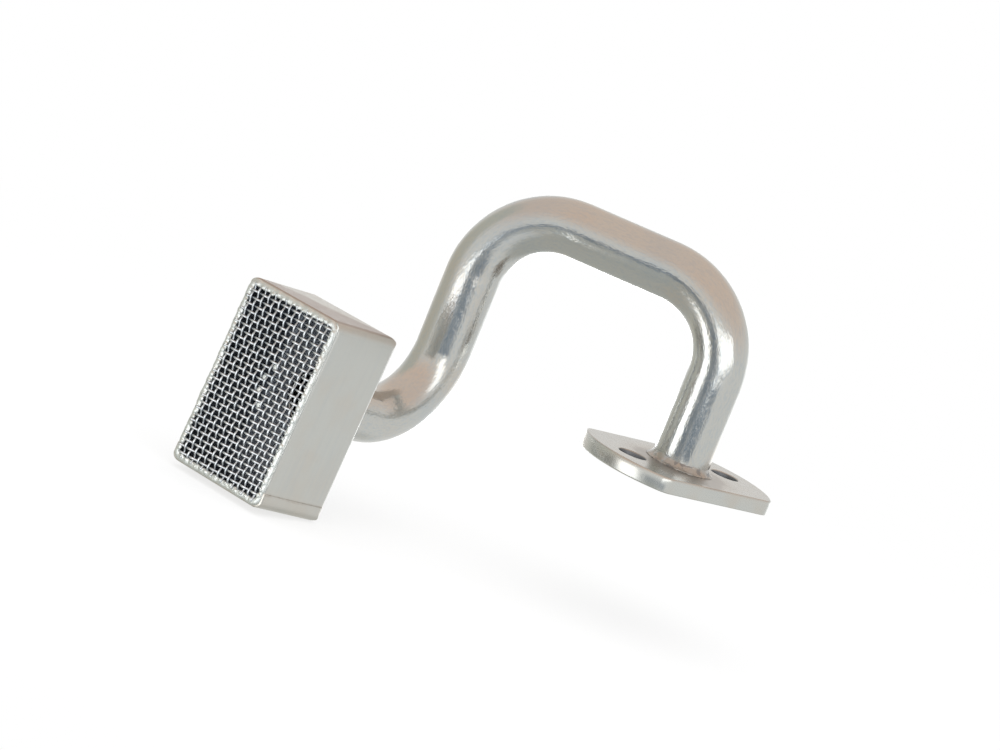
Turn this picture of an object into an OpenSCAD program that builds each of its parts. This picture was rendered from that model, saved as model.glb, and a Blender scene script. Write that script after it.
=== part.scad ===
// Oil pickup tube: a bent steel tube with a two-bolt flange at one end
// and a folded sheet strainer with a woven wire face at the other.
// Millimetres. Origin at the centre of the flange's mating face, Z along the
// flange leg, X along the depth of the strainer with the mesh towards -X.

/* [Tube] */
// outside diameter
tube_od = 19; // [16:0.5:22]
// wall thickness
tube_wall = 1.2; // [0.8:0.1:2]
// centreline radius of all three bends
bend_r = 27; // [22:0.5:28]
// how far the die draws the wall down in a bend, each side
bend_draw = 0.05; // [0.02:0.01:0.1]
// how far the full section runs on into a bend before the die's step
bend_lap = 0.5; // [0.3:0.1:0.8]
// top run's centreline above the mating face
leg_h = 61.5; // [56:0.5:80]
// top run, from leg centreline to leg centreline
top_len = 86; // [76:0.5:120]
// plan angle of the top run from X
top_turn = 116; // [95:1:150]
// lower bend's corner below the mating face
drop_z = 19.5; // [14:0.5:40]
// drop leg's centreline to the back of the strainer
strainer_run = 50.5; // [46:0.5:80]
// lean of the strainer out of square with the flange, degrees
strainer_tilt = 4; // [0:0.5:8]
// tube end set back from the mating face
end_set_back = 0.5; // [0.2:0.1:1.5]
// tube end inside the strainer, past its back wall
end_inside = 2.5; // [1:0.5:6]

/* [Flange] */
// diameter of the round plate
plate_d = 65; // [60:0.5:80]
// distance across the two flats
plate_flats = 44; // [36:0.5:56]
// plate thickness
plate_t = 5; // [3:0.25:8]
// plan angle of the bolt line and the flats from X
plate_turn = -10; // [-30:1:30]
// bolt hole centre to bolt hole centre
bolt_span = 43; // [42:0.5:50]
// bolt hole diameter
bolt_hole_d = 9; // [6.6:0.1:9]
// broken edge round the plate
edge_break = 0.6; // [0.2:0.1:1]

/* [Strainer housing] */
// width across the short sides
strainer_w = 41; // [36:0.5:60]
// length along the long sides
strainer_h = 63.5; // [56:0.5:90]
// depth from the back to the rim under the mesh
strainer_d = 30; // [24:0.5:45]
// sheet thickness
sheet_t = 1; // [0.8:0.1:1.5]
// outside radius of the folds at the back
fold_r = 2; // [1.6:0.1:4]
// outside radius of the four corners, seen from the mesh
corner_r = 3.5; // [3:0.1:5]
// rim turned in under the mesh
lip_w = 2.2; // [2:0.1:2.8]
// height of the lap at the foot
lap_h = 5.5; // [4:0.5:10]
// step of the lap on the side walls
lap_t = 0.3; // [0.2:0.1:0.6]
// tube entry above the middle of the back
entry_up = 2.2; // [0:0.1:6]

/* [Strainer mesh] */
// gaps across the width
mesh_cols = 9; // [6:1:9]
// gaps along the length
mesh_rows = 13; // [9:1:13]
// web between two gaps
web = 1.3; // [0.9:0.1:1.8]
// thickness of the wall that stands for the cloth
cloth_t = 0.8; // [0.5:0.1:1.2]
// height of the knuckles over the cloth
knuckle_h = 0.45; // [0.2:0.05:0.6]
// share of the pitch and of the web that a knuckle takes
knuckle_share = 0.8; // [0.5:0.05:0.9]
// mesh edge in from the housing's outside
mesh_inset = 1.6; // [1.3:0.1:2.2]

/* [Filler metal] */
// gap between the tube and each bore, each side
braze_gap = 0.1; // [0.05:0.05:0.2]
// fillet on the flange
flange_fillet = 3.4; // [2:0.1:5]
// fillet on the back of the housing
housing_fillet = 2.4; // [1.5:0.1:4]
// thin edge that a fillet runs out to
fillet_land = 0.25; // [0.2:0.05:0.5]
// solder bead's height on the rim
bead_h = 1.1; // [0.6:0.1:1.4]
// solder bead's outer edge in from the housing's outside
bead_inset = 0.9; // [0.8:0.1:1.1]

/* [Hidden] */
$fn = 48;
eps = 0.5;
lower_bend = 90 + strainer_tilt;
tangent_len = bend_r * tan(lower_bend / 2);
leg_straight = leg_h - bend_r;
top_straight = top_len - 2 * bend_r;
drop_straight = leg_h + drop_z - bend_r - tangent_len;
entry_straight = strainer_run - tangent_len;
tube_id = tube_od - 2 * tube_wall;
bore_d = tube_od + 2 * braze_gap;
mesh_w = strainer_w - 2 * mesh_inset;
mesh_h = strainer_h - 2 * mesh_inset;
pitch_w = (mesh_w - web) / mesh_cols;
pitch_h = (mesh_h - web) / mesh_rows;
// section of the plate's edge with both corners broken, at a distance out
function plate_edge(out) = [
    [out - edge_break, 0],
    [out, edge_break],
    [out, plate_t - edge_break],
    [out - edge_break, plate_t]
];
disc_section = concat([[0, 0]], plate_edge(plate_d / 2), [[0, plate_t]]);
flat_edge = plate_edge(plate_flats / 2);
flats_section = concat(flat_edge, [for (i = [3 : -1 : 0]) [-flat_edge[i][0], flat_edge[i][1]]]);
steel = [0.78, 0.80, 0.79];
filler = [0.66, 0.60, 0.50];
solder = [0.86, 0.87, 0.86];

// one end of the tube's path to the next: a bend from +Z towards +X
module past_bend(angle) {
    translate([bend_r, 0, 0])
        rotate([0, angle, 0])
            translate([-bend_r, 0, 0])
                children();
}

// the frame at the start of each stretch of the tube
module at_first_bend() {
    translate([0, 0, leg_straight])
        rotate([0, 0, top_turn])
            children();
}

module at_top_run() {
    at_first_bend()
        past_bend(90)
            children();
}

module at_second_bend() {
    at_top_run()
        translate([0, 0, top_straight])
            children();
}

module at_drop_leg() {
    at_second_bend()
        past_bend(90)
            children();
}

module at_lower_bend() {
    at_drop_leg()
        translate([0, 0, drop_straight])
            rotate([0, 0, top_turn])
                children();
}

module at_entry_run() {
    at_lower_bend()
        past_bend(lower_bend)
            children();
}

// the back of the strainer at the tube's axis: x up, y across, z to the mesh
module at_strainer_entry() {
    at_entry_run()
        translate([0, 0, entry_straight])
            children();
}

// the middle of the strainer's back
module at_strainer() {
    at_strainer_entry()
        translate([-entry_up, 0, 0])
            children();
}

// the wall, drawn down by the same amount outside and inside
module ring_section(draw) {
    difference() {
        circle(d = tube_od - 2 * draw);
        circle(d = tube_id + 2 * draw);
    }
}

// a straight stretch, run on past each end that meets a bend
module straight(length, start_lap, end_lap) {
    translate([0, 0, -start_lap])
        linear_extrude(height = start_lap + length + end_lap)
            ring_section(0);
}

module bend(angle) {
    translate([bend_r, 0, 0])
        rotate([90, 0, 180])
            rotate_extrude(angle = angle)
                translate([bend_r, 0])
                    ring_section(bend_draw);
}

// the bent tube, one length from the flange to the strainer
module pickup_tube() {
    color(steel) {
        translate([0, 0, end_set_back])
            straight(leg_straight - end_set_back, 0, bend_lap);
        at_first_bend()
            bend(90);
        at_top_run()
            straight(top_straight, bend_lap, bend_lap);
        at_second_bend()
            bend(90);
        at_drop_leg()
            straight(drop_straight, bend_lap, bend_lap);
        at_lower_bend()
            bend(lower_bend);
        at_entry_run()
            straight(entry_straight + sheet_t + end_inside, bend_lap, 0);
    }
}

// the plate: a disc with two flats, a bore for the tube and two bolt holes
module mounting_flange() {
    color(steel)
        rotate([0, 0, plate_turn])
            difference() {
                intersection() {
                    rotate_extrude()
                        polygon(disc_section);
                    rotate([90, 0, 90])
                        translate([0, 0, -plate_d])
                            linear_extrude(height = 2 * plate_d)
                                polygon(flats_section);
                }
                translate([0, 0, -eps])
                    cylinder(d = bore_d, h = plate_t + 2 * eps);
                for (side = [-1, 1])
                    translate([side * bolt_span / 2, 0, -eps])
                        cylinder(d = bolt_hole_d, h = plate_t + 2 * eps);
            }
}

module rounded_rect(x, y, r) {
    square([x - 2 * r, y], center = true);
    square([x, y - 2 * r], center = true);
    for (sx = [-1, 1], sy = [-1, 1])
        translate([sx * (x / 2 - r), sy * (y / 2 - r)])
            circle(r = r);
}

// section with the two corners at the back rounded, and the two at the rim
module fold_section(x, z, fold, rim) {
    translate([-x / 2, fold])
        square([x, z - fold - rim]);
    translate([fold - x / 2, 0])
        square([x - 2 * fold, z]);
    translate([rim - x / 2, fold])
        square([x - 2 * rim, z - fold]);
    for (side = [-1, 1]) {
        translate([side * (x / 2 - fold), fold])
            circle(r = fold);
        if (rim > 0)
            translate([side * (x / 2 - rim), z - rim])
                circle(r = rim);
    }
}

// a block with rounded corners whose edges at the back and the rim are folds
module fold_block(x, y, z, corner, fold, rim) {
    intersection() {
        linear_extrude(height = z)
            rounded_rect(x, y, corner);
        rotate([90, 0, 0])
            translate([0, 0, -y])
                linear_extrude(height = 2 * y)
                    fold_section(x, z, fold, rim);
        rotate([90, 0, 90])
            translate([0, 0, -x])
                linear_extrude(height = 2 * x)
                    fold_section(y, z, fold, rim);
    }
}

// the folded sheet box with a turned-in rim and a lap at the foot
module strainer_housing() {
    color(steel)
        at_strainer()
            difference() {
                union() {
                    fold_block(strainer_h, strainer_w, strainer_d, corner_r, fold_r, sheet_t);
                    intersection() {
                        fold_block(
                            strainer_h,
                            strainer_w + 2 * lap_t,
                            strainer_d,
                            corner_r + lap_t,
                            fold_r + lap_t,
                            sheet_t
                        );
                        translate([-strainer_h / 2 - eps, -strainer_w, -eps])
                            cube([lap_h + eps, 2 * strainer_w, strainer_d + 2 * eps]);
                    }
                }
                translate([0, 0, sheet_t])
                    fold_block(
                        strainer_h - 2 * sheet_t,
                        strainer_w - 2 * sheet_t,
                        strainer_d - 2 * sheet_t,
                        corner_r - sheet_t,
                        fold_r - sheet_t,
                        0
                    );
                translate([0, 0, strainer_d - sheet_t - eps])
                    linear_extrude(height = sheet_t + 2 * eps)
                        rounded_rect(
                            strainer_h - 2 * lip_w,
                            strainer_w - 2 * lip_w,
                            corner_r - lip_w
                        );
                translate([entry_up, 0, -eps])
                    cylinder(d = bore_d, h = sheet_t + 2 * eps);
            }
}

// the wire cloth: a wall with square gaps and raised knuckles where wires cross
module strainer_mesh() {
    color(solder)
        at_strainer()
            translate([0, 0, strainer_d]) {
                linear_extrude(height = cloth_t)
                    difference() {
                        rounded_rect(mesh_h, mesh_w, corner_r - mesh_inset);
                        for (i = [0 : mesh_rows - 1], j = [0 : mesh_cols - 1])
                            translate([
                                web - mesh_h / 2 + i * pitch_h,
                                web - mesh_w / 2 + j * pitch_w
                            ])
                                square([pitch_h - web, pitch_w - web]);
                    }
                translate([0, 0, cloth_t])
                    linear_extrude(height = knuckle_h)
                        for (i = [1 : mesh_rows - 1], j = [1 : mesh_cols - 1])
                            translate([
                                (web - mesh_h) / 2 + i * pitch_h,
                                (web - mesh_w) / 2 + j * pitch_w
                            ])
                                if ((i + j) % 2 == 0)
                                    square(knuckle_share * [pitch_h, web], center = true);
                                else
                                    square(knuckle_share * [web, pitch_w], center = true);
            }
}

// hollow fillet round the tube, on a face at z = 0
module fillet_ring(leg) {
    rotate_extrude()
        translate([tube_od / 2, 0])
            difference() {
                square([leg, leg]);
                translate([leg + fillet_land, leg + fillet_land])
                    circle(r = leg);
            }
}

module flange_braze() {
    color(filler)
        translate([0, 0, plate_t])
            fillet_ring(flange_fillet);
}

module housing_braze() {
    color(filler)
        at_strainer_entry()
            rotate([180, 0, 0])
                fillet_ring(housing_fillet);
}

// the solder bead on the rim, all round the edge of the mesh
module rim_solder() {
    color(solder)
        at_strainer()
            translate([0, 0, strainer_d])
                linear_extrude(height = bead_h)
                    difference() {
                        rounded_rect(
                            strainer_h - 2 * bead_inset,
                            strainer_w - 2 * bead_inset,
                            corner_r - bead_inset
                        );
                        rounded_rect(mesh_h, mesh_w, corner_r - mesh_inset);
                    }
}

pickup_tube();
mounting_flange();
strainer_housing();
strainer_mesh();
flange_braze();
housing_braze();
rim_solder();
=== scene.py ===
import math
import random
from collections import namedtuple

import bmesh
import bpy
from mathutils import Matrix, Vector, noise


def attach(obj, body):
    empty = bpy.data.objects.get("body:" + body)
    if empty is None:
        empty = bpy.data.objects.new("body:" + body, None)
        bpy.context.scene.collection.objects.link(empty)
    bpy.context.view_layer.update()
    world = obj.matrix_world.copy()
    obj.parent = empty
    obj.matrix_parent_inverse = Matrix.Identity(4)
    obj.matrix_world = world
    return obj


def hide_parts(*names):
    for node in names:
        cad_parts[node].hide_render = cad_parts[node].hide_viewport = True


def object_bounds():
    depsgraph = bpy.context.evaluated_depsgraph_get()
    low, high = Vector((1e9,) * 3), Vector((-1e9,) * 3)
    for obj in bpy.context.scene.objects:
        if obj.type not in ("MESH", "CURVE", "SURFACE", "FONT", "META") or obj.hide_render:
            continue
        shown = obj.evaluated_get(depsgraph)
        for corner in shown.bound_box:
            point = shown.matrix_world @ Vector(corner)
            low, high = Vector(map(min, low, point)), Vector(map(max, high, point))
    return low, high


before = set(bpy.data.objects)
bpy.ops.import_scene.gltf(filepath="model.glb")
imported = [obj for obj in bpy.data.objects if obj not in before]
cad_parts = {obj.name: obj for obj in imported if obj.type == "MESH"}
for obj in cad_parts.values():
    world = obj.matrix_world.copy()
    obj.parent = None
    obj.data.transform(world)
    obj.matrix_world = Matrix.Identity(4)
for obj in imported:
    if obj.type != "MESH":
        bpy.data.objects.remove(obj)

CAD_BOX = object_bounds()

bl_info = {
    "name": "Oil pickup tube",
    "version": (1, 0, 0),
    "blender": (4, 5, 0),
    "location": "View3D > Sidebar > Oil pickup",
    "description": "Dresses a plated oil pickup tube with a meshed strainer and a flange",
    "category": "Object",
}

MM = 0.001
QUARTER = math.radians(90)
AXIS_X, AXIS_Y, AXIS_Z = (1.0, 0.0, 0.0), (0.0, 1.0, 0.0), (0.0, 0.0, 1.0)

# Broad tones of the studio that the metal mirrors. Angles in degrees: plan from
# X, rise over the horizon, roll, half width, half height and soft edges.
Card = namedtuple("Card", "plan rise roll wide high soft tone")
CARDS = {
    "left wall": Card(112, -5, 0, 30, 45, (16, 15), (0.64, 0.63, 0.56)),
    "back sweep": Card(26, -7.5, 0, 36, 12.5, (10, 4), (1.6, 1.6, 1.6)),
    "front shade": Card(190, -30, 0, 14, 24, (7, 7), (0.52, 0.53, 0.50)),
    "high shade": Card(192, -8, 0, 11, 5, (4, 3), (0.22, 0.26, 0.31)),
    "low shade": Card(225, -12, -6, 19, 7, (6, 3), (0.24, 0.29, 0.345)),
}

# Softboxes close to the part, in metres: middle, aim, roll in degrees, size and
# how much light a mirror would show there.
Softbox = namedtuple("Softbox", "at aim roll wide high glow")
SOFTBOXES = {
    "Left softbox": Softbox((-0.230, 0.076, -0.037), (0.0, 0.076, -0.037), 12, 0.122, 0.112, 1.6),
    "Rear softbox": Softbox((0.100, 0.150, -0.034), (-0.087, 0.073, 0.0), 0, 0.100, 0.060, 3.0),
    "Right softbox": Softbox((-0.140, -0.230, 0.080), (0.0, 0.012, 0.050), 20, 0.290, 0.090, 1.2),
}
# The softbox overhead lights the floor, and the metal doesn't mirror it.
OVERHEAD = Softbox((-0.25, -0.15, 1.5), (-0.05, 0.04, 0.0), 0, 2.0, 2.0, 0.88)

# Marks in the finishes, in metres. The torch's place is in plan, and a reach
# from it says where a mark starts to fade and where it ends.
MOTTLE = 0.0024
TORCH_AT = (-0.0024, -0.0030)
SCALE_REACH = (0.0150, 0.0178)
HEAT_REACH = (0.0160, 0.0230)
# Heights over the strainer's rim for the painted shade in the weave's hollows: a wire is unshaded above
# the first and fully shaded below the second.
KNUCKLE = (0.00104, 0.00072)


# Properties

def length(name, description, default):
    return bpy.props.FloatProperty(
        name=name, description=description, default=default * MM,
        precision=5, subtype="DISTANCE", unit="LENGTH",
    )


def turn(name, description, degrees):
    return bpy.props.FloatProperty(
        name=name, description=description, default=math.radians(degrees),
        subtype="ANGLE", unit="ROTATION",
    )


def share(name, description, default):
    return bpy.props.FloatProperty(
        name=name, description=description, default=default, min=0.0, max=1.0,
        subtype="FACTOR",
    )


def count(name, description, default):
    return bpy.props.IntProperty(name=name, description=description, default=default, min=1)


def colour(name, description, default):
    return bpy.props.FloatVectorProperty(
        name=name, description=description, default=default, size=3,
        min=0.0, max=1.0, subtype="COLOR",
    )


class TubeSizes(bpy.types.PropertyGroup):
    """The tube's section and its path from the flange to the strainer"""
    outside: length("Outside diameter", "Outside diameter of the tube", 18.96)
    wall: length("Wall", "Wall thickness", 1.2)
    bend_r: length("Bend radius", "Centreline radius of all three bends", 27.0)
    bend_draw: length("Draw-down", "How far the die draws the wall down in a bend", 0.05)
    ovality: share("Ovality", "How much a bend flattens at its middle", 0.02)
    leg_h: length("Leg height", "Top run's centreline above the mating face", 61.5)
    top_len: length("Top run", "From leg centreline to leg centreline", 86.0)
    top_turn: turn("Top turn", "Plan angle of the top run from X", 116.0)
    drop_z: length("Drop", "Lower bend's corner below the mating face", 19.5)
    strainer_run: length("Entry run", "Drop leg's centreline to the strainer's back", 50.5)
    tilt: turn("Tilt", "Lean of the strainer out of square with the flange", 4.0)
    set_back: length("Set back", "Tube end above the mating face", 0.5)
    end_inside: length("End inside", "Tube end inside the strainer", 3.5)


class StrainerSizes(bpy.types.PropertyGroup):
    """The folded box, its woven face and the solder round it"""
    width: length("Width", "Across the short sides", 41.0)
    height: length("Height", "Along the long sides", 63.5)
    depth: length("Depth", "From the back to the rim under the mesh", 30.0)
    sheet: length("Sheet", "Sheet thickness", 1.0)
    lap_h: length("Lap", "Height of the lap at the foot", 5.5)
    entry_up: length("Entry", "Tube entry above the middle of the back", 2.2)
    mesh_inset: length("Mesh inset", "Mesh edge in from the outside", 1.6)
    gaps_across: count("Gaps across", "Gaps of the cloth across the width", 16)
    gaps_along: count("Gaps along", "Gaps of the cloth along the length", 28)
    wire_w: length("Wire width", "Width of a wire, flattened a little by rolling", 0.82)
    wire_h: length("Wire height", "Height of a wire", 0.60)
    row_lean: turn("Row lean", "How far the wires across were pulled out of square", 1.7)
    column_lean: turn("Column lean", "How far the wires along were pulled out of square", 0.9)
    corner_r: length("Corner", "Outside radius of the four corners", 3.5)
    bead_in: length("Solder line", "Middle of the solder in from the outside", 1.65)
    bead_w: length("Solder width", "Width of the solder round the cloth", 2.3)
    bead_h: length("Solder height", "Height of the solder above the rim", 0.8)


class FlangeSizes(bpy.types.PropertyGroup):
    """The plate and the braze round the tube"""
    plate_d: length("Plate diameter", "Diameter of the plate", 64.94)
    flats: length("Flats", "Width across the two parallel flats", 43.98)
    plate_t: length("Plate thickness", "Thickness of the plate", 5.0)
    corner: length("Corner", "Rounding where a flat meets the round", 2.6)
    edge: length("Edge", "Rounding of the plate's lower edge", 0.5)
    roll_in: length("Roll in", "How far the punch drew the upper edge in", 0.6)
    roll_down: length("Roll down", "How far down the side the punch rounded the plate", 2.4)
    plate_turn: turn("Plate turn", "Plan angle of the bolt line from X", -10.0)
    bolt_span: length("Bolt span", "Bolt hole centre to bolt hole centre", 43.0)
    bolt_hole: length("Bolt hole", "Diameter of a bolt hole", 9.0)
    fillet: length("Flange fillet", "Leg of the braze on the plate", 3.4)
    back_fillet: length("Back fillet", "Leg of the braze on the strainer's back", 2.4)


class FinishColours(bpy.types.PropertyGroup):
    """The colours of the plated steel and of the filler metals"""
    zinc: colour("Zinc", "Bright zinc plate", (0.58, 0.585, 0.565))
    warm: colour("Warm tint", "Beige tint of the passivate", (0.60, 0.55, 0.49))
    cool: colour("Cool tint", "Blue-grey tint of the passivate", (0.48, 0.53, 0.57))
    satin: colour("Satin zinc", "Zinc on the sheet and the plate", (0.60, 0.61, 0.59))
    # This colour also paints the shade inside the bolt holes, inside the strainer and in the weave's
    # hollows.
    bare_and_shade: colour("Bare steel", "Steel that the plating didn't reach", (0.18, 0.198, 0.225))
    # This colour is painted shade on the inside of the strainer's back wall.
    inner: colour("Inner back", "Thin plating on the strainer's back wall, inside", (0.46, 0.50, 0.56))
    wire: colour("Wire", "Bright drawn wire", (0.66, 0.69, 0.72))
    solder: colour("Solder", "Bright solder", (0.68, 0.71, 0.70))
    braze: colour("Braze", "Braze under the plating", (0.44, 0.41, 0.37))
    heat: colour("Heat tint", "Brown left by the torch", (0.41, 0.36, 0.31))
    scorch: colour("Scorch", "Brown on the strainer's top, from soldering the rim", (0.36, 0.31, 0.285))
    # This colour also paints shade over the whole top of the plate.
    scale: colour("Scale", "Dark grey scale next to the braze", (0.44, 0.44, 0.43))


class StageSettings(bpy.types.PropertyGroup):
    """The camera, the floor and the light"""
    camera_at: bpy.props.FloatVectorProperty(
        name="Camera", description="Where the camera stands", size=3,
        default=(-1.0561897, -0.7127976, 0.2157887), subtype="XYZ", unit="LENGTH",
    )
    camera_right: bpy.props.FloatVectorProperty(
        name="Camera right", description="The picture's right in the part's frame", size=3,
        default=(0.60425, -0.70424, 0.37273), subtype="DIRECTION",
    )
    camera_look: bpy.props.FloatVectorProperty(
        name="Camera look", description="Where the camera looks", size=3,
        default=(0.78937, 0.59280, -0.15964), subtype="DIRECTION",
    )
    lens: bpy.props.FloatProperty(
        name="Lens", description="Focal length on a 36 mm wide frame, in millimetres",
        default=144.34,
    )
    white: colour("White", "Floor and backdrop", (1.0, 1.0, 1.0))
    ambient: colour("Ambient", "Plain light from all sides", (0.75, 0.75, 0.75))
    wall: colour("Wall", "Studio wall that the metal mirrors", (0.86, 0.86, 0.84))
    ceiling: colour("Ceiling", "Warm ceiling that the metal mirrors", (0.86, 0.71, 0.61))
    bench: colour("Bench", "Bench that the metal mirrors", (0.56, 0.56, 0.52))
    shadow: share("Shadow", "How much of its own shading the floor shows", 0.3)
    overhead: share("Overhead", "Glow of the softbox overhead", OVERHEAD.glow)


# Shader maths

class Value:
    """One output socket, for sums in plain Python"""

    def __init__(self, finish, socket):
        self.finish = finish
        self.socket = socket

    def maths(self, operation, *values):
        return self.finish.node("ShaderNodeMath", {"operation": operation}, dict(enumerate(values)))

    def __add__(self, other):
        return self.maths("ADD", self, other)

    def __radd__(self, other):
        return self.maths("ADD", other, self)

    def __sub__(self, other):
        return self.maths("SUBTRACT", self, other)

    def __rsub__(self, other):
        return self.maths("SUBTRACT", other, self)

    def __mul__(self, other):
        return self.maths("MULTIPLY", self, other)

    def __rmul__(self, other):
        return self.maths("MULTIPLY", other, self)

    def __truediv__(self, other):
        return self.maths("DIVIDE", self, other)

    def __abs__(self):
        return self.maths("ABSOLUTE", self)

    def at_least(self, other):
        return self.maths("MAXIMUM", self, other)


class Finish:
    """A node tree under construction: a material's or the world's"""

    def __init__(self, owner):
        owner.use_nodes = True
        self.owner = owner
        self.tree = owner.node_tree
        self.tree.nodes.clear()

    def node(self, kind, settings=None, inputs=None, output=0):
        node = self.tree.nodes.new(kind)
        for key, value in (settings or {}).items():
            setattr(node, key, value)
        for key, value in (inputs or {}).items():
            if isinstance(value, Value):
                self.tree.links.new(value.socket, node.inputs[key])
            elif hasattr(node.inputs[key].default_value, "__len__") and len(value) == 3:
                room = len(node.inputs[key].default_value)
                node.inputs[key].default_value = (*value, 1.0)[:room]
            else:
                node.inputs[key].default_value = value
        return Value(self, node.outputs[output])

    def place(self):
        return self.node("ShaderNodeTexCoord", output="Object")

    def attribute(self, name):
        return self.node("ShaderNodeAttribute", {"attribute_name": name}, output="Vector")

    def join(self, x, y, z):
        return self.node("ShaderNodeCombineXYZ", None, {0: x, 1: y, 2: z})

    def stretch(self, vector, scale):
        """Scales a place along z alone"""
        return self.node(
            "ShaderNodeVectorMath", {"operation": "MULTIPLY"}, {0: vector, 1: (1.0, 1.0, scale)})

    def size(self, vector):
        return self.node("ShaderNodeVectorMath", {"operation": "LENGTH"}, {0: vector}, "Value")

    def dot(self, vector, direction):
        return self.node(
            "ShaderNodeVectorMath", {"operation": "DOT_PRODUCT"},
            {0: vector, 1: direction}, "Value")

    def speckle(self, vector, size, detail=3.0, roughness=0.55, distortion=0.0):
        return self.node("ShaderNodeTexNoise", None, {
            "Vector": vector, "Scale": 1.0 / size, "Detail": detail,
            "Roughness": roughness, "Distortion": distortion,
        })

    def between(self, value, low, high, start=0.0, end=1.0):
        return self.node("ShaderNodeMapRange", {"interpolation_type": "SMOOTHSTEP"}, {
            "Value": value, "From Min": low, "From Max": high, "To Min": start, "To Max": end,
        })

    def mix(self, factor, first, second):
        return self.node(
            "ShaderNodeMix", {"data_type": "RGBA"}, {0: factor, 6: first, 7: second}, 2)

    def tint(self, tone, other, value, low, high, most=1.0):
        """Blends a tone towards another as a value goes from low to high, and no more than most"""
        return self.mix(self.between(value, low, high, 0.0, most), tone, other)

    def bump(self, height, distance, normal=None):
        inputs = {"Strength": 1.0, "Distance": distance, "Height": height}
        if normal:
            inputs["Normal"] = normal
        return self.node("ShaderNodeBump", None, inputs)

    def metal(self, tone, rough, normal):
        shader = self.node("ShaderNodeBsdfPrincipled", None, {
            "Base Color": tone, "Roughness": rough, "Normal": normal, "Metallic": 1.0,
        })
        self.surface(shader)
        return self.owner

    def surface(self, shader):
        kind = "World" if isinstance(self.owner, bpy.types.World) else "Material"
        out = self.tree.nodes.new("ShaderNodeOutput" + kind)
        self.tree.links.new(shader.socket, out.inputs["Surface"])


# Finishes

def new_finish(name):
    return Finish(bpy.data.materials.new(name))


def plated_tube(tones):
    f = new_finish("Plated tube")
    run = f.attribute("unbent")
    grit = f.speckle(f.stretch(run, 0.35), 0.0006, 1.0, 0.6)
    drawn = f.speckle(f.stretch(run, 0.08), 0.0009, 3.0)
    mottle = f.speckle(f.stretch(run, 0.5), MOTTLE, 4.0, 0.6, 0.3)
    cloud = f.speckle(f.stretch(run, 0.5), 0.016, 2.0)
    haze = f.speckle(run, 0.035, 1.0)
    tone = f.tint(tones.zinc, tones.warm, cloud, 0.46, 0.72, 0.7)
    tone = f.tint(tone, tones.cool, haze, 0.52, 0.72, 0.5)
    tone = f.tint(tone, tones.cool, grit, 0.42, 0.68, 0.4)
    rough = 0.14 + f.between(mottle, 0.3, 0.75) * 0.05 + f.between(drawn, 0.35, 0.75) * 0.05
    normal = f.bump(grit + mottle * 0.15 + drawn * 0.6, 0.00005)
    return f.metal(tone, rough, normal)


def plated_plate(tones, sizes):
    f = new_finish("Plated plate")
    where = f.place()
    along = (math.cos(sizes.plate_turn), math.sin(sizes.plate_turn), 0.0)
    across = (-math.sin(sizes.plate_turn), math.cos(sizes.plate_turn), 0.0)
    bolt_line = f.dot(where, along)
    flat_line = f.dot(where, across)
    upright = f.dot(where, AXIS_Z)
    brushed = f.join(bolt_line * 0.04, flat_line, upright)
    lines = f.speckle(brushed, 0.0007, 3.0)
    mottle = f.speckle(where, MOTTLE, 4.0, 0.6, 0.3)
    cloud = f.speckle(where, 0.012, 2.0)
    torch_x = f.dot(where, AXIS_X) - TORCH_AT[0]
    torch_y = f.dot(where, AXIS_Y) - TORCH_AT[1]
    torch = f.size(f.join(torch_x, torch_y, 0.0))
    from_bolt = f.size(f.join(abs(bolt_line) - sizes.bolt_span / 2, flat_line, 0.0))
    bore, top = sizes.bolt_hole / 2, sizes.plate_t
    # Painted shade on the walls inside the bolt holes, below their top edge.
    hole = (
        f.between(from_bolt, bore + 0.0008, bore + 0.0005)
        * f.between(upright, top - 0.0001, top - 0.0004)
    )
    ragged = torch + (cloud - 0.5) * 0.012 + (mottle - 0.5) * 0.004
    above = f.between(upright, top - 0.0006, top - 0.0001)
    scale = f.between(ragged, *SCALE_REACH, 1.0, 0.0) * above
    heat = f.between(ragged, *HEAT_REACH, 1.0, 0.0) * above
    tone = f.tint(tones.satin, tones.warm, cloud, 0.42, 0.7, 0.5)
    tone = f.tint(tone, tones.cool, lines, 0.5, 0.75, 0.2)
    # Painted shade: the whole top of the plate is mixed halfway to the scale colour.
    tone = f.mix(above * 0.5, tone, tones.scale)
    tone = f.mix(heat * 0.5, tone, tones.heat)
    tone = f.mix(scale * f.between(mottle, 0.35, 0.6, 0.6, 0.95), tone, tones.scale)
    # Painted shade in the bolt holes, almost fully dark.
    tone = f.mix(hole * 0.9, tone, tones.bare_and_shade)
    rough = 0.24 + f.between(mottle, 0.3, 0.75) * 0.05 + scale * 0.1 + hole * 0.25
    normal = f.bump(lines * 0.3 + mottle * 0.2, 0.00001)
    return f.metal(tone, rough, normal)


def strainer_axes(strainer):
    """The strainer's up, across and outward directions and the middle of its back"""
    up, across, out = (strainer.col[i].to_3d() for i in range(3))
    return up, across, out, strainer.translation


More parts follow.
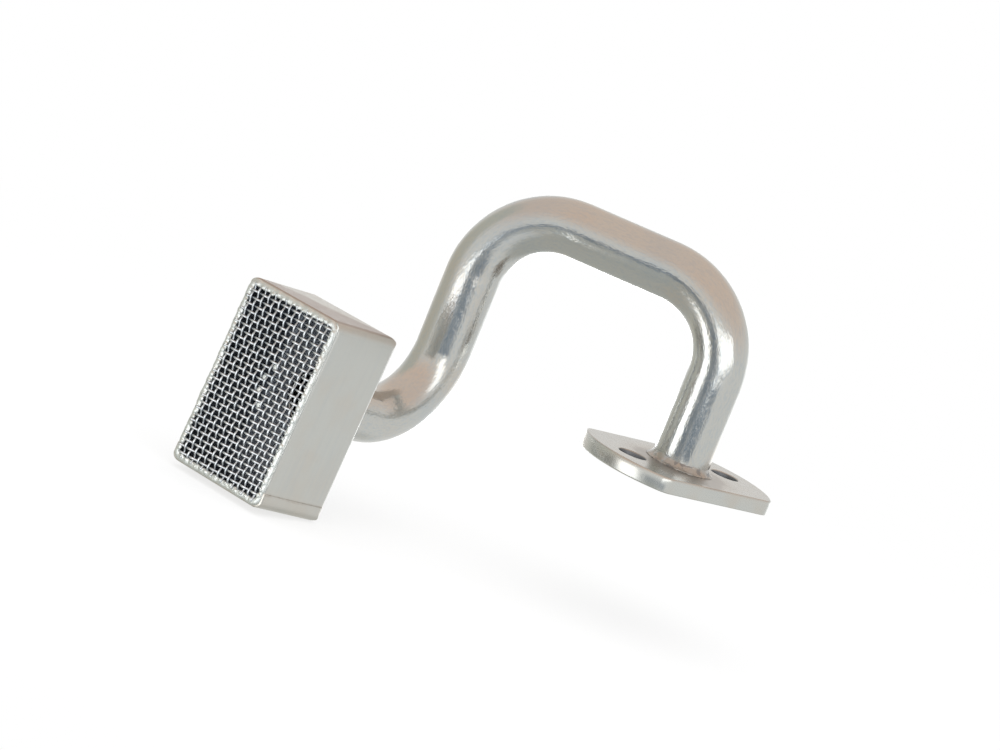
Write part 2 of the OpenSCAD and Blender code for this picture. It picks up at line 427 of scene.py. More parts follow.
def plated_sheet(tones, sizes, strainer):
    f = new_finish("Plated sheet")
    where = f.place()
    up, across, out, back = strainer_axes(strainer)
    height = f.dot(where, up) - back.dot(up)
    side = f.dot(where, across) - back.dot(across)
    front = f.dot(where, out) - back.dot(out)
    half_h, half_w = sizes.height / 2, sizes.width / 2
    grain = f.speckle(f.join(height * 0.05, side, front), 0.0016, 3.0)
    mottle = f.speckle(where, MOTTLE, 4.0, 0.6)
    cloud = f.speckle(where, 0.016, 2.0)
    mid_sheet = 0.6 * sizes.sheet
    past_h = (abs(height) - (half_h - sizes.corner_r)).at_least(0.0)
    past_w = (abs(side) - (half_w - sizes.corner_r)).at_least(0.0)
    from_corner = f.size(f.join(past_h, past_w, 0.0))
    wall = sizes.corner_r - mid_sheet
    # Painted shade inside the strainer: a mask of its inside faces.
    shaded_inside = (
        f.between(from_corner, wall, wall - 0.0001)
        * f.between(front, mid_sheet, mid_sheet + 0.0001)
        * f.between(front, sizes.depth, sizes.depth - 0.0002)
    )
    seam_line = height - (sizes.lap_h - half_h) + (cloud - 0.5) * 0.0025
    seam = f.between(abs(seam_line), 0.0001, 0.0006, 1.0, 0.0)
    foot = f.between(seam_line, 0.004, -0.002)
    top = f.between(height, half_h - 0.0006, half_h - 0.0001)
    burnt = 1 - front / sizes.depth - 0.95 * (half_w - side) / sizes.width + (cloud - 0.5) * 0.4
    scorch = top * f.between(burnt, 0.22, 0.02)
    tone = f.tint(tones.satin, tones.warm, cloud, 0.42, 0.72, 0.4)
    tone = f.tint(tone, tones.cool, grain, 0.45, 0.75, 0.18)
    tone = f.mix(foot * 0.35, tone, tones.warm)
    tone = f.mix(seam * f.between(mottle, 0.3, 0.6, 0.1, 0.4), tone, tones.heat)
    tone = f.mix(scorch * 0.9, tone, tones.scorch)
    # Painted shade inside the strainer, lighter on the back wall and darker further from it.
    inside_shade_tone = f.tint(tones.bare_and_shade, tones.inner, front, 0.005, 0.0015)
    tone = f.mix(shaded_inside, tone, inside_shade_tone)
    dull = f.between(front, 0.0008, 0.0004)
    rough = 0.30 + f.between(mottle, 0.3, 0.75) * 0.06 + grain * 0.08 + (shaded_inside + dull) * 0.25
    sag = f.bump(f.speckle(where, 0.022, 1.0), 0.0004)
    normal = f.bump(grain * 0.5 + mottle * 0.3, 0.00004, sag)
    return f.metal(tone, rough, normal)


def drawn_wire(tones, sizes, strainer):
    f = new_finish("Drawn wire")
    where = f.place()
    out, back = strainer_axes(strainer)[2:]
    above_rim = f.dot(where, out) - back.dot(out) - sizes.depth
    # Painted shade where a wire dips into the weave's hollows.
    hollow = f.between(above_rim, *KNUCKLE)
    mottle = f.speckle(where, 0.0018, 4.0, 0.6)
    cloud = f.speckle(where, 0.008, 2.0)
    tone = f.tint(tones.wire, tones.cool, cloud, 0.45, 0.7, 0.6)
    tone = f.tint(tone, tones.bare_and_shade, mottle, 0.6, 0.8, 0.4)
    # Painted shade in the hollows of the weave.
    tone = f.mix(hollow * 0.42, tone, tones.bare_and_shade)
    rough = 0.24 + f.between(mottle, 0.3, 0.8) * 0.2
    return f.metal(tone, rough, f.bump(mottle, 0.00003))


def run_solder(tones):
    f = new_finish("Run solder")
    where = f.place()
    lump = f.speckle(where, 0.0012, 4.0, 0.6)
    cloud = f.speckle(where, 0.006, 2.0)
    tone = f.tint(tones.solder, tones.cool, lump, 0.5, 0.75, 0.35)
    tone = f.tint(tone, tones.warm, cloud, 0.55, 0.75, 0.3)
    rough = 0.34 + f.between(lump, 0.3, 0.7) * 0.2
    return f.metal(tone, rough, f.bump(lump, 0.00012))


def run_braze(tones):
    f = new_finish("Run braze")
    where = f.place()
    lump = f.speckle(where, 0.0020, 4.0, 0.6)
    cloud = f.speckle(where, 0.006, 3.0)
    spot = f.speckle(where, 0.0028, 2.0)
    tone = f.tint(tones.braze, tones.scale, cloud, 0.38, 0.62)
    tone = f.tint(tone, tones.heat, cloud, 0.42, 0.34, 0.7)
    tone = f.tint(tone, tones.cool, spot, 0.56, 0.68, 0.6)
    tone = f.tint(tone, tones.bare_and_shade, spot, 0.46, 0.38, 0.6)
    tone = f.tint(tone, tones.zinc, lump, 0.64, 0.74, 0.8)
    rough = 0.24 + f.between(lump, 0.3, 0.7) * 0.16
    return f.metal(tone, rough, f.bump(lump, 0.0003))


# Shapes

def smoothstep(part):
    part = min(1.0, max(0.0, part))
    return part * part * (3 - 2 * part)


def tube_path(tube):
    """The straights, turns and bends in order, and the move past a bend, as the solids have them"""
    def past(angle):
        return (
            Matrix.Translation((tube.bend_r, 0, 0)) @ Matrix.Rotation(angle, 4, "Y")
            @ Matrix.Translation((-tube.bend_r, 0, 0))
        )
    lower = QUARTER + tube.tilt
    tangent = tube.bend_r * math.tan(lower / 2)
    spin = Matrix.Rotation(tube.top_turn, 4, "Z")
    stretches = [
        ("straight", tube.leg_h - tube.bend_r), ("turn", spin), ("bend", QUARTER),
        ("straight", tube.top_len - 2 * tube.bend_r), ("bend", QUARTER),
        ("straight", tube.leg_h + tube.drop_z - tube.bend_r - tangent), ("turn", spin),
        ("bend", lower), ("straight", tube.strainer_run - tangent),
    ]
    return stretches, past


def strainer_matrix(tube, strainer):
    """The middle of the strainer's back: x up, y across and z out towards the mesh"""
    stretches, past = tube_path(tube)
    at = Matrix.Identity(4)
    for kind, amount in stretches:
        if kind == "straight":
            at = at @ Matrix.Translation((0, 0, amount))
        elif kind == "turn":
            at = at @ amount
        else:
            at = at @ past(amount)
    return at @ Matrix.Translation((-strainer.entry_up, 0, 0))


def sweep(bm, frames, sides, closed=False):
    """Extrudes a circle from frame to frame and returns each frame's ring"""
    first = bmesh.ops.create_circle(bm, radius=1.0, segments=sides, matrix=frames[0])["verts"]
    start = list(dict.fromkeys(edge for vert in first for edge in vert.link_edges))
    rings, edges = [first], start
    for before, after in zip(frames, frames[1:]):
        made = bmesh.ops.extrude_edge_only(bm, edges=edges)["geom"]
        ring = [g for g in made if isinstance(g, bmesh.types.BMVert)]
        edges = [g for g in made if isinstance(g, bmesh.types.BMEdge) and g.is_boundary]
        bmesh.ops.transform(bm, matrix=after @ before.inverted(), verts=ring)
        rings.append(ring)
    if closed:
        bmesh.ops.bridge_loops(bm, edges=start + edges)
    return rings


def cap_ends(bm):
    bmesh.ops.holes_fill(bm, edges=[e for e in bm.edges if e.is_boundary])


def section(at, half_w, half_h):
    """A frame that makes an ellipse of the circle that is swept"""
    return at @ Matrix.Diagonal((half_w, half_h, 1.0, 1.0))


def add_ball(bm, at, radius=1.0):
    bmesh.ops.create_uvsphere(bm, u_segments=8, v_segments=6, radius=radius, matrix=at)


def cloth_pitch(sizes):
    """Wire spacing of the cloth along the strainer and across it"""
    return (
        (sizes.height - 2 * sizes.mesh_inset) / sizes.gaps_along,
        (sizes.width - 2 * sizes.mesh_inset) / sizes.gaps_across,
    )


def rim_frames(half_x, half_y, corner, step):
    """Frames round a rectangle with rounded corners: x outwards and y up"""
    frames = []
    for quarter in range(4):
        turned = Matrix.Rotation(math.radians(90 * quarter), 4, "Z")
        out, half = (half_y, half_x) if quarter % 2 else (half_x, half_y)
        straight = 2 * (half - corner)
        steps = round(straight / step)
        for k in range(steps):
            frames.append(turned @ Matrix.Translation((out, straight * (k / steps - 0.5), 0)))
        centre = turned @ Matrix.Translation((out - corner, half - corner, 0))
        steps = round(corner * QUARTER / step)
        for k in range(steps):
            frames.append(
                centre @ Matrix.Rotation(QUARTER * k / steps, 4, "Z")
                @ Matrix.Translation((corner, 0, 0)))
    stood_up = Matrix.Rotation(QUARTER, 4, "X")
    return [at @ stood_up for at in frames]


def add_piece(name, bm, material, node, flat=()):
    """Turns a bmesh into a piece that rides on the part and stands for a node"""
    bmesh.ops.recalc_face_normals(bm, faces=bm.faces)
    for face in bm.faces:
        face.smooth = True
    for face in flat:
        face.smooth = False
    mesh = bpy.data.meshes.new(name)
    bm.to_mesh(mesh)
    bm.free()
    mesh.materials.append(material)
    piece = bpy.data.objects.new(name, mesh)
    bpy.context.scene.collection.objects.link(piece)
    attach(piece, "root")
    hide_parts(node)
    return piece


def fuse(piece, grain):
    """Runs a piece's overlapping lumps into one skin, as molten metal does"""
    fused = piece.modifiers.new("Fused", "REMESH")
    fused.mode = "VOXEL"
    fused.voxel_size = grain
    fused.use_smooth_shade = True
    eased = piece.modifiers.new("Eased", "SMOOTH")
    eased.iterations = 4


def finish_node(name, material):
    """Gives a CAD node that is shown as it is its material"""
    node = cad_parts[name]
    node.data.materials.clear()
    node.data.materials.append(material)


# Operators

class PICKUP_OT_tube(bpy.types.Operator):
    """Sweep the bent tube along its path, with the marks of the bending die"""
    bl_idname = "pickup.tube"
    bl_label = "Bent tube"

    straight_step = 0.002
    bend_steps = 36
    sides = 72
    ease_run = 0.0012

    def stations(self, tube):
        """Frames along the tube, each with its twist, the run so far, the draw-down and the flattening"""
        stretches, past = tube_path(tube)
        at, lay = Matrix.Identity(4), Matrix.Identity(4)
        run, found, last = 0.0, [], len(stretches) - 1
        for i, (kind, amount) in enumerate(stretches):
            if kind == "turn":
                at = at @ amount
                lay = amount.inverted() @ lay
                continue
            if kind == "straight":
                begin = tube.set_back if i == 0 else 0.0
                end = amount + (tube.end_inside if i == last else 0.0)
                steps = max(2, round((end - begin) / self.straight_step))
                for k in range(1 if found else 0, steps + 1):
                    z = begin + (end - begin) * k / steps
                    found.append((at @ Matrix.Translation((0, 0, z)), lay, run + z, 0.0, 0.0))
                at = at @ Matrix.Translation((0, 0, amount))
                run += amount
                continue
            for k in range(1, self.bend_steps + 1):
                part = k / self.bend_steps
                along = tube.bend_r * amount * part
                inside = min(along, tube.bend_r * amount - along) / self.ease_run
                draw = tube.bend_draw * smoothstep(inside)
                oval = tube.ovality * math.sin(math.pi * part) ** 2
                found.append((at @ past(amount * part), lay, run + along, draw, oval))
            at = at @ past(amount)
            run += tube.bend_r * amount
        return found

    def execute(self, context):
        sizes = context.scene.pickup_tube
        found = self.stations(sizes)
        radius = sizes.outside / 2
        frames = [
            section(at, (radius - draw) * (1 - oval), radius - draw) @ lay
            for at, lay, run, draw, oval in found
        ]
        bm = bmesh.new()
        unbent = bm.verts.layers.float_vector.new("unbent")
        rings = sweep(bm, frames, self.sides)
        for (at, lay, run, draw, oval), ring in zip(found, rings):
            back = (at @ lay).inverted()
            for vert in ring:
                flat = back @ vert.co
                vert[unbent] = (flat.x, flat.y, run)
        piece = add_piece(
            "tube", bm, plated_tube(context.scene.pickup_colours), "pickup_tube")
        wall = piece.modifiers.new("Wall", "SOLIDIFY")
        wall.thickness = sizes.wall
        wall.offset = -1.0
        return {"FINISHED"}


class PICKUP_OT_flange(bpy.types.Operator):
    """Cut the round plate to its flats and holes and ease all its edges"""
    bl_idname = "pickup.flange"
    bl_label = "Flange plate"

    sides = 160
    hole_sides = 48
    corner_steps = 8
    nearly = 1e-6
    # Shares of an edge's inset and height, step by step round it
    easing = ((0.08, 0.4), (0.20, 0.33), (0.28, 0.19), (0.44, 0.08))
    # How straight up a face of the top looks, and how level or large a flat one is
    upward = 0.9
    level = 0.999
    broad = 20e-6

    def outline(self, bm, plate):
        """The plate's outline: a circle with two flats and four rounded corners"""
        bmesh.ops.create_circle(bm, cap_ends=True, radius=plate.plate_d / 2, segments=self.sides)
        half = plate.flats / 2
        for side in (-1, 1):
            bmesh.ops.bisect_plane(
                bm, geom=bm.verts[:] + bm.edges[:] + bm.faces[:], clear_outer=True,
                plane_co=(0, side * half, 0), plane_no=(0, side, 0))
        corners = [v for v in bm.verts if abs(abs(v.co.y) - half) < self.nearly]
        beside = [
            v for v in bm.verts if v not in corners
            and any((v.co - c.co).length < 1.5 * plate.corner for c in corners)
        ]
        bmesh.ops.dissolve_verts(bm, verts=beside)
        bmesh.ops.bevel(
            bm, geom=corners, offset=plate.corner, segments=self.corner_steps, profile=0.5,
            affect="VERTICES", material=-1)
        bmesh.ops.delete(bm, geom=bm.faces[:], context="FACES_ONLY")

    def execute(self, context):
        scene = context.scene
        plate, tube = scene.pickup_flange, scene.pickup_tube
        bm = bmesh.new()
        self.outline(bm, plate)
        holes = ((0.0, tube.outside), (-plate.bolt_span / 2, plate.bolt_hole),
                 (plate.bolt_span / 2, plate.bolt_hole))
        for x, across in holes:
            bmesh.ops.create_circle(
                bm, radius=across / 2, segments=self.hole_sides, matrix=Matrix.Translation((x, 0, 0)))
        bmesh.ops.triangle_fill(bm, use_beauty=True, edges=bm.edges[:], normal=(0, 0, 1))
        upright = plate.plate_t - plate.edge - plate.roll_down
        bmesh.ops.solidify(bm, geom=bm.faces[:], thickness=upright)
        bmesh.ops.recalc_face_normals(bm, faces=bm.faces)
        for up, deep, high in ((1, plate.roll_in, plate.roll_down), (-1, plate.edge, plate.edge)):
            side = [f for f in bm.faces if f.normal.z * up > self.upward]
            for inward, raised in self.easing:
                bmesh.ops.inset_region(
                    bm, faces=side, use_boundary=True, use_even_offset=True,
                    thickness=inward * deep, depth=raised * high)
        low = min(v.co.z for v in bm.verts)
        turned = Matrix.Rotation(plate.plate_turn, 4, "Z") @ Matrix.Translation((0, 0, -low))
        bmesh.ops.transform(bm, matrix=turned, verts=bm.verts)
        flat = [
            f for f in bm.faces
            if abs(f.normal.z) > self.level or f.calc_area() > self.broad
        ]
        add_piece(
            "flange_plate", bm, plated_plate(scene.pickup_colours, plate),
            "mounting_flange", flat)
        return {"FINISHED"}


class PICKUP_OT_housing(bpy.types.Operator):
    """Finish the strainer's sheet, plated outside, with painted shade inside"""
    bl_idname = "pickup.housing"
    bl_label = "Strainer housing"

    def execute(self, context):
        scene = context.scene
        at = strainer_matrix(scene.pickup_tube, scene.pickup_strainer)
        finish_node(
            "strainer_housing",
            plated_sheet(scene.pickup_colours, scene.pickup_strainer, at))
        return {"FINISHED"}


class PICKUP_OT_cloth(bpy.types.Operator):
    """Weave the wire cloth, every wire over one and under the next"""
    bl_idname = "pickup.cloth"
    bl_label = "Wire cloth"

    sides = 8
    steps = 6
    sway = 0.00012
    sway_size = 0.007
    sway_seed = 7
    sunk = 0.00012

    def wire(self, sizes, pitch, gaps, lean, flip):
        """One wire along x, waving out of the cloth's plane, as a mesh to be repeated"""
        rise = flip * sizes.wire_h / 2
        half = gaps * pitch / 2
        frames = []
        for k in range(gaps * self.steps + 1):
            x = -half + k * pitch / self.steps
            wave = math.pi * (x + half) / pitch
            slope = math.atan(-rise * math.pi / pitch * math.sin(wave))
            at = (
                Matrix.Translation((x, 0, rise * math.cos(wave)))
                @ Matrix.Rotation(QUARTER - slope, 4, "Y")
            )
            frames.append(section(at, sizes.wire_h / 2, sizes.wire_w / 2))
        bm = bmesh.new()
        sweep(bm, frames, self.sides)
        cap_ends(bm)
        bmesh.ops.rotate(bm, verts=bm.verts, cent=(0, 0, 0), matrix=Matrix.Rotation(lean, 3, "Z"))
        single = bpy.data.meshes.new("one wire")
        bm.to_mesh(single)
        bm.free()
        return single

    def lay(self, bm, single, turned, spots):
        """Lays copies of a wire side by side in the cloth"""
        for spot in spots:
            before = len(bm.verts)
            bm.from_mesh(single)
            bm.verts.ensure_lookup_table()
            bmesh.ops.transform(
                bm, matrix=turned @ Matrix.Translation((0, spot, 0)), verts=bm.verts[before:])
        bpy.data.meshes.remove(single)

    def execute(self, context):
        scene = context.scene
        sizes = scene.pickup_strainer
        pitch_x, pitch_y = cloth_pitch(sizes)
        bm = bmesh.new()
        families = (
            (0.0, pitch_x, sizes.gaps_along, pitch_y, sizes.gaps_across, sizes.column_lean, 1),
            (90.0, pitch_y, sizes.gaps_across, pitch_x, sizes.gaps_along, sizes.row_lean, -1),
        )
        for degrees, pitch, gaps, apart, others, lean, sign in families:
            turned = Matrix.Rotation(math.radians(degrees), 4, "Z")
            for odd in (0, 1):
                single = self.wire(sizes, pitch, gaps, lean, sign * (-1) ** odd)
                spots = [(k - others / 2) * apart for k in range(1 + odd, others, 2)]
                self.lay(bm, single, turned, spots)
        noise.seed_set(self.sway_seed)
        for vert in bm.verts:
            waver = noise.noise_vector(vert.co / self.sway_size)
            vert.co.x += self.sway * waver.x
            vert.co.y += self.sway * waver.y
        at = strainer_matrix(scene.pickup_tube, sizes)
        seat = Matrix.Translation((0, 0, sizes.depth + sizes.wire_h - self.sunk))
        bmesh.ops.transform(bm, matrix=at @ seat, verts=bm.verts)
        finish = drawn_wire(scene.pickup_colours, sizes, at)
        add_piece("wire_cloth", bm, finish, "strainer_mesh")
        return {"FINISHED"}


class PICKUP_OT_solder(bpy.types.Operator):
    """Run the solder round the rim, with a drop on each wire's end and a few in the gaps"""
    bl_idname = "pickup.solder"
    bl_label = "Rim solder"

    step = 0.0004
    grain = 0.00015
    bead_sides = 12
    lump_size, swell_size = 0.0016, 0.006
    stray, stray_size = 0.0002, 0.003
    lowest, highest = -0.0003, 0.00102
    seed = 7
    # A drop's half width in millimetres, more on every second wire, its place in from the
    # end as a share, and its height as a share of the bead's
    drop_w, second_w = (0.5, 0.75), 0.25
    drop_in = (0.0, 0.03)
    drop_h, drop_over = (0.85, 1.0), 1.2
    fill_w, fill_h = 0.0011, 0.0004
    gaps_filled = ((4, -2), (2, -1), (0, -1), (-2, -2))

    def drop(self, bm, x, y, wide, high):
        """A flattened drop that stands a little over the rim"""
        at = Matrix.Translation((x, y, 0.55 * high)) @ Matrix.Diagonal((wide, wide, 0.5 * high, 1.0))
        add_ball(bm, at)

    def bead(self, bm, sizes):
        """The bead round the rim, uneven in width, height and line"""
        inset = sizes.bead_in
        middle = rim_frames(
            sizes.height / 2 - inset, sizes.width / 2 - inset, sizes.corner_r - inset, self.step)
        frames = []
        for at in middle:
            spot = at.translation
            lump = noise.noise(spot / self.lump_size) * 0.6 + noise.noise(spot / self.swell_size) * 0.4
            shift = Matrix.Translation((self.stray * noise.noise(spot / self.stray_size), 0, 0))
            half_w = sizes.bead_w / 2 * (1 + 0.4 * lump)
            half_h = sizes.bead_h * (0.85 + 0.35 * lump)
            frames.append(section(at @ shift, half_w, half_h))
        sweep(bm, frames, self.bead_sides, closed=True)

    def ends(self, bm, sizes, draw):
        """A drop where each wire ends, larger on every second one"""
        pitch_x, pitch_y = cloth_pitch(sizes)
        half_x = sizes.gaps_along * pitch_x / 2
        half_y = sizes.gaps_across * pitch_y / 2
        spots = []
        for end in (-1, 1):
            for k in range(1, sizes.gaps_across):
                spots.append((k, end * half_x, (k - sizes.gaps_across / 2) * pitch_y))
            for k in range(1, sizes.gaps_along):
                spots.append((k, (k - sizes.gaps_along / 2) * pitch_x, end * half_y))
        for k, x, y in spots:
            wide = draw.uniform(*self.drop_w) + (self.second_w if k % 2 else 0.0)
            inward = 1 - draw.uniform(*self.drop_in)
            high = draw.uniform(*self.drop_h) * sizes.bead_h * self.drop_over
            self.drop(bm, x * inward, y * inward, wide * MM, high)

    def execute(self, context):
        scene = context.scene
        sizes = scene.pickup_strainer
        pitch_x, pitch_y = cloth_pitch(sizes)
        draw = random.Random(self.seed)
        bm = bmesh.new()
        self.bead(bm, sizes)
        self.ends(bm, sizes, draw)
        for i, j in self.gaps_filled:
            self.drop(bm, (i + 0.5) * pitch_x, (j + 0.5) * pitch_y, self.fill_w, self.fill_h)
        for vert in bm.verts:
            vert.co.z = min(max(vert.co.z, self.lowest), self.highest)
        at = strainer_matrix(scene.pickup_tube, sizes)
        bmesh.ops.transform(
            bm, matrix=at @ Matrix.Translation((0, 0, sizes.depth)), verts=bm.verts)
        piece = add_piece("solder_rim", bm, run_solder(scene.pickup_colours), "rim_solder")
        fuse(piece, self.grain)
        return {"FINISHED"}


class PICKUP_OT_braze(bpy.types.Operator):
    """Run the two braze fillets round the tube, uneven as a torch leaves them"""
    bl_idname = "pickup.braze"
    bl_label = "Braze fillets"

    steps = 120
    curve = 7
    grain = 0.0002
    flange_lumps, back_lumps = 0.007, 0.006
    # How far the fillet sits in the tube, and the share of that which blunts its edges
    bite, blunting = 0.0003, 0.4
    # Shares of the leg along the plate and up the tube, each with its unevenness
    spread, spread_more = 0.90, 0.14
    climb, climb_more = 1.10, 0.36
    ripple, ripple_share = 0.0002, 0.35
    seed = 11
    drops = 11
    # A drop's place out from the tube in millimetres, its height as a share of the leg and
    # its radius in millimetres
    drop_out, drop_up, drop_r = (0.1, 0.5), (0.22, 0.42), (0.4, 0.7)

    def fillet(self, leg, radius, lump_size):
        """A hollow fillet spun round z, standing on z = 0; its edges run out into tube and plate"""
        bm = bmesh.new()
        inner = radius - self.bite
        blunt = math.acos(1 - self.blunting * self.bite / leg)
        reach = leg * (1 - math.sin(blunt))
        points = [Vector((inner, 0, reach))]
        for k in range(self.curve + 1):
            angle = math.pi + blunt + (QUARTER - 2 * blunt) * k / self.curve
            points.append(Vector((
                inner + leg * (1 + math.cos(angle)), 0, leg * (1 + math.sin(angle)))))
        points += [Vector((inner + reach, 0, 0)), Vector((inner, 0, 0))]
        ring = [bm.verts.new(p) for p in points]
        edges = [bm.edges.new(pair) for pair in zip(ring, ring[1:] + ring[:1])]
        bmesh.ops.spin(
            bm, geom=ring + edges, cent=(0, 0, 0), axis=(0, 0, 1),
            angle=math.radians(360), steps=self.steps, use_merge=True)
        for vert in bm.verts:
            flat = Vector((vert.co.x, vert.co.y, 0))
            out = flat.length - radius
            uneven = noise.noise(flat.normalized() * radius / lump_size)
            fine = noise.noise(vert.co / (self.ripple_share * lump_size))
            if out > 0:
                grow = out * (self.spread + self.spread_more * uneven)
                vert.co.xy = (flat.normalized() * (radius + grow)).xy
            if vert.co.z > 0:
                vert.co.z *= self.climb + self.climb_more * uneven
                vert.co.z = max(0.0, vert.co.z + self.ripple * fine * (out > 0))
        draw = random.Random(self.seed)
        for k in range(self.drops):
            around = Matrix.Rotation(draw.uniform(0.0, math.tau), 4, "Z")
            at = Matrix.Translation((
                radius + draw.uniform(*self.drop_out) * MM, 0, leg * draw.uniform(*self.drop_up)))
            add_ball(bm, around @ at, draw.uniform(*self.drop_r) * MM)
        return bm

    def execute(self, context):
        scene = context.scene
        tube, plate = scene.pickup_tube, scene.pickup_flange
        finish = run_braze(scene.pickup_colours)
        radius = tube.outside / 2
        bm = self.fillet(plate.fillet, radius, self.flange_lumps)
        bmesh.ops.translate(bm, verts=bm.verts, vec=(0, 0, plate.plate_t))
        fuse(add_piece("flange_fillet", bm, finish, "flange_braze"), self.grain)
        entry = strainer_matrix(tube, scene.pickup_strainer) @ Matrix.Translation(
            (scene.pickup_strainer.entry_up, 0, 0))
        bm = self.fillet(plate.back_fillet, radius, self.back_lumps)
        bmesh.ops.transform(
            bm, matrix=entry @ Matrix.Rotation(math.radians(180), 4, "X"), verts=bm.verts)
        fuse(add_piece("back_fillet", bm, finish, "housing_braze"), self.grain)
        return {"FINISHED"}


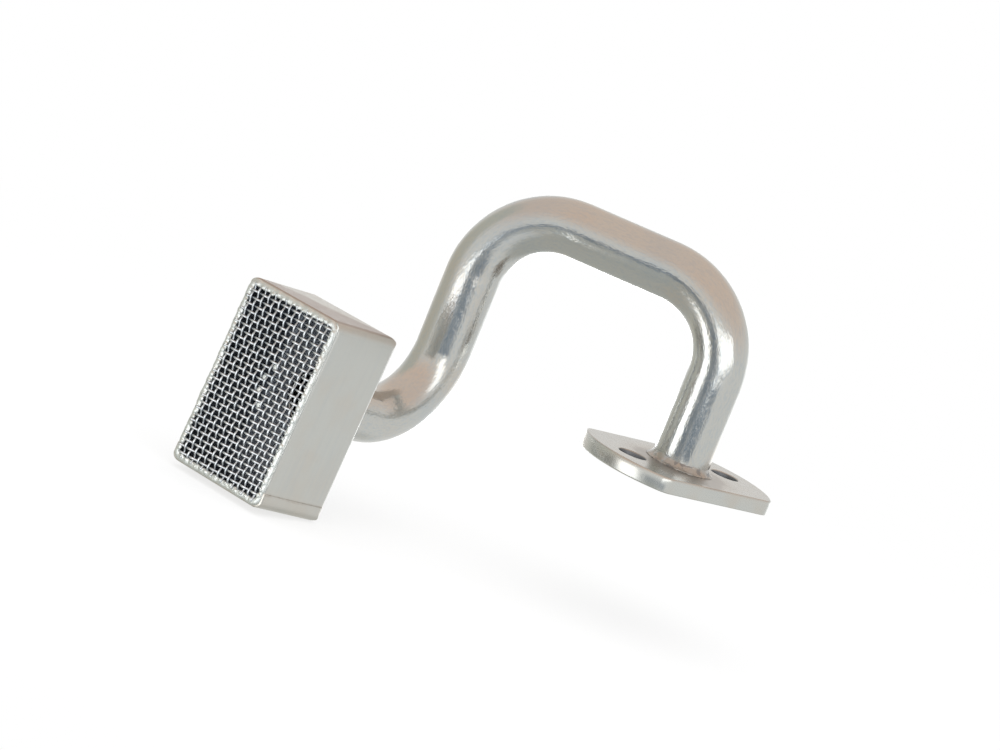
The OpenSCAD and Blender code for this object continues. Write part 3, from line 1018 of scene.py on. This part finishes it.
class PICKUP_OT_stage(bpy.types.Operator):
    """Set the camera, the pale floor and the soft light"""
    bl_idname = "pickup.stage"
    bl_label = "Stage"

    film_w = 36.0
    nearest = 0.01
    floor_r = 4.0
    floor_sides = 64
    # Distances from the part at which the floor shows no shade and full shade
    shade_out, shade_in = 0.45, 0.15
    # Rises, as sines, at which the wall starts to turn to ceiling or bench, and has turned
    ceiling_rise = (0.1, 0.75)
    bench_rise = (-0.55, -0.8)

    def camera(self, scene, stage):
        data = bpy.data.cameras.new("Camera")
        data.lens = stage.lens
        data.sensor_width = self.film_w
        data.sensor_fit = "HORIZONTAL"
        data.clip_start = self.nearest
        camera = bpy.data.objects.new("Camera", data)
        look = Vector(stage.camera_look).normalized()
        right = Vector(stage.camera_right)
        right = (right - look * right.dot(look)).normalized()
        turned = Matrix.Identity(4)
        turned.col[0].xyz = right
        turned.col[1].xyz = right.cross(look)
        turned.col[2].xyz = -look
        turned.translation = stage.camera_at
        camera.matrix_world = turned
        scene.collection.objects.link(camera)
        scene.camera = camera

    def card(self, f, way, tone, card):
        """Lays a card of light or shade over the studio, soft at its edges"""
        flat = Matrix.Rotation(math.radians(card.plan), 3, "Z")
        flat = flat @ Matrix.Rotation(math.radians(-card.rise), 3, "Y")
        flat = flat @ Matrix.Rotation(math.radians(card.roll), 3, "X")
        ahead = f.dot(way, flat.col[0])
        side = abs(f.dot(way, flat.col[1]) / ahead)
        up = abs(f.dot(way, flat.col[2]) / ahead)
        wide, high = (math.tan(math.radians(a)) for a in (card.wide, card.high))
        soft_x, soft_y = (math.tan(math.radians(a)) for a in card.soft)
        mask = (
            f.between(side, wide + soft_x, wide - soft_x)
            * f.between(up, high + soft_y, high - soft_y) * f.between(ahead, 0.0, 0.01)
        )
        return f.mix(mask, tone, card.tone)

    def world(self, scene, stage):
        scene.world = bpy.data.worlds.new("Studio")
        f = Finish(scene.world)
        seen = f.node("ShaderNodeLightPath", output="Is Camera Ray")
        shiny = f.node("ShaderNodeLightPath", output="Is Glossy Ray")
        way = f.node("ShaderNodeTexCoord", output="Generated")
        rise = f.dot(way, AXIS_Z)
        tone = f.tint(stage.wall, stage.ceiling, rise, *self.ceiling_rise)
        tone = f.tint(tone, stage.bench, rise, *self.bench_rise)
        for card in CARDS.values():
            tone = self.card(f, way, tone, card)
        tone = f.mix(shiny, stage.ambient, tone)
        tone = f.mix(seen, tone, stage.white)
        f.surface(f.node("ShaderNodeBackground", None, {"Color": tone, "Strength": 1.0}))

    def floor(self, scene, stage):
        bm = bmesh.new()
        bmesh.ops.create_circle(
            bm, cap_ends=True, radius=self.floor_r, segments=self.floor_sides,
            matrix=Matrix.Translation((0, 0, CAD_BOX[0][2])))
        mesh = bpy.data.meshes.new("Floor")
        bm.to_mesh(mesh)
        bm.free()
        f = new_finish("Pale floor")
        seen = f.node("ShaderNodeLightPath", output="Is Camera Ray")
        away = f.size(f.stretch(f.place(), 0.0))
        shaded = f.between(away, self.shade_out, self.shade_in, 0.0, stage.shadow)
        matt = f.node("ShaderNodeBsdfDiffuse", None, {"Color": stage.white})
        lit = f.node("ShaderNodeEmission", None, {"Color": stage.white, "Strength": 1.0})
        f.surface(f.node("ShaderNodeMixShader", None, {0: seen * (1 - shaded), 1: matt, 2: lit}))
        mesh.materials.append(f.owner)
        floor = bpy.data.objects.new("Floor", mesh)
        floor.visible_glossy = False
        scene.collection.objects.link(floor)

    def lamp(self, scene, name, box):
        data = bpy.data.lights.new(name, "AREA")
        data.shape = "RECTANGLE"
        data.size = box.wide
        data.size_y = box.high
        data.energy = box.glow * math.pi * box.wide * box.high
        lamp = bpy.data.objects.new(name, data)
        facing = (Vector(box.aim) - Vector(box.at)).to_track_quat("-Z", "Y").to_matrix().to_4x4()
        rolled = Matrix.Rotation(math.radians(box.roll), 4, "Z")
        lamp.matrix_world = Matrix.Translation(box.at) @ facing @ rolled
        lamp.visible_camera = False
        scene.collection.objects.link(lamp)
        return lamp

    def execute(self, context):
        scene = context.scene
        stage = scene.pickup_stage
        scene.view_settings.view_transform = "Standard"
        self.camera(scene, stage)
        self.world(scene, stage)
        self.floor(scene, stage)
        for name, box in SOFTBOXES.items():
            self.lamp(scene, name, box)
        overhead = OVERHEAD._replace(glow=stage.overhead)
        self.lamp(scene, "Top softbox", overhead).visible_glossy = False
        return {"FINISHED"}


# Panel and registration

class PICKUP_PT_panel(bpy.types.Panel):
    """The sizes, the colours and the pieces"""
    bl_idname = "PICKUP_PT_panel"
    bl_label = "Oil pickup"
    bl_space_type = "VIEW_3D"
    bl_region_type = "UI"
    bl_category = "Oil pickup"

    def draw(self, context):
        for name, kind in GROUPS.items():
            box = self.layout.box()
            box.label(text=kind.__doc__)
            for key in kind.__annotations__:
                box.prop(getattr(context.scene, name), key)
        for operator in OPERATORS:
            self.layout.operator(operator.bl_idname)


GROUPS = {
    "pickup_tube": TubeSizes,
    "pickup_strainer": StrainerSizes,
    "pickup_flange": FlangeSizes,
    "pickup_colours": FinishColours,
    "pickup_stage": StageSettings,
}
OPERATORS = (
    PICKUP_OT_stage, PICKUP_OT_tube, PICKUP_OT_flange, PICKUP_OT_housing,
    PICKUP_OT_cloth, PICKUP_OT_solder, PICKUP_OT_braze,
)
CLASSES = (*GROUPS.values(), *OPERATORS, PICKUP_PT_panel)


def register():
    for kind in CLASSES:
        bpy.utils.register_class(kind)
    for name, kind in GROUPS.items():
        setattr(bpy.types.Scene, name, bpy.props.PointerProperty(type=kind))


def unregister():
    for name in GROUPS:
        delattr(bpy.types.Scene, name)
    for kind in reversed(CLASSES):
        bpy.utils.unregister_class(kind)


def main():
    register()
    bpy.ops.pickup.stage()
    bpy.ops.pickup.tube()
    bpy.ops.pickup.flange()
    bpy.ops.pickup.housing()
    bpy.ops.pickup.cloth()
    bpy.ops.pickup.solder()
    bpy.ops.pickup.braze()


if __name__ == "__main__":
    main()
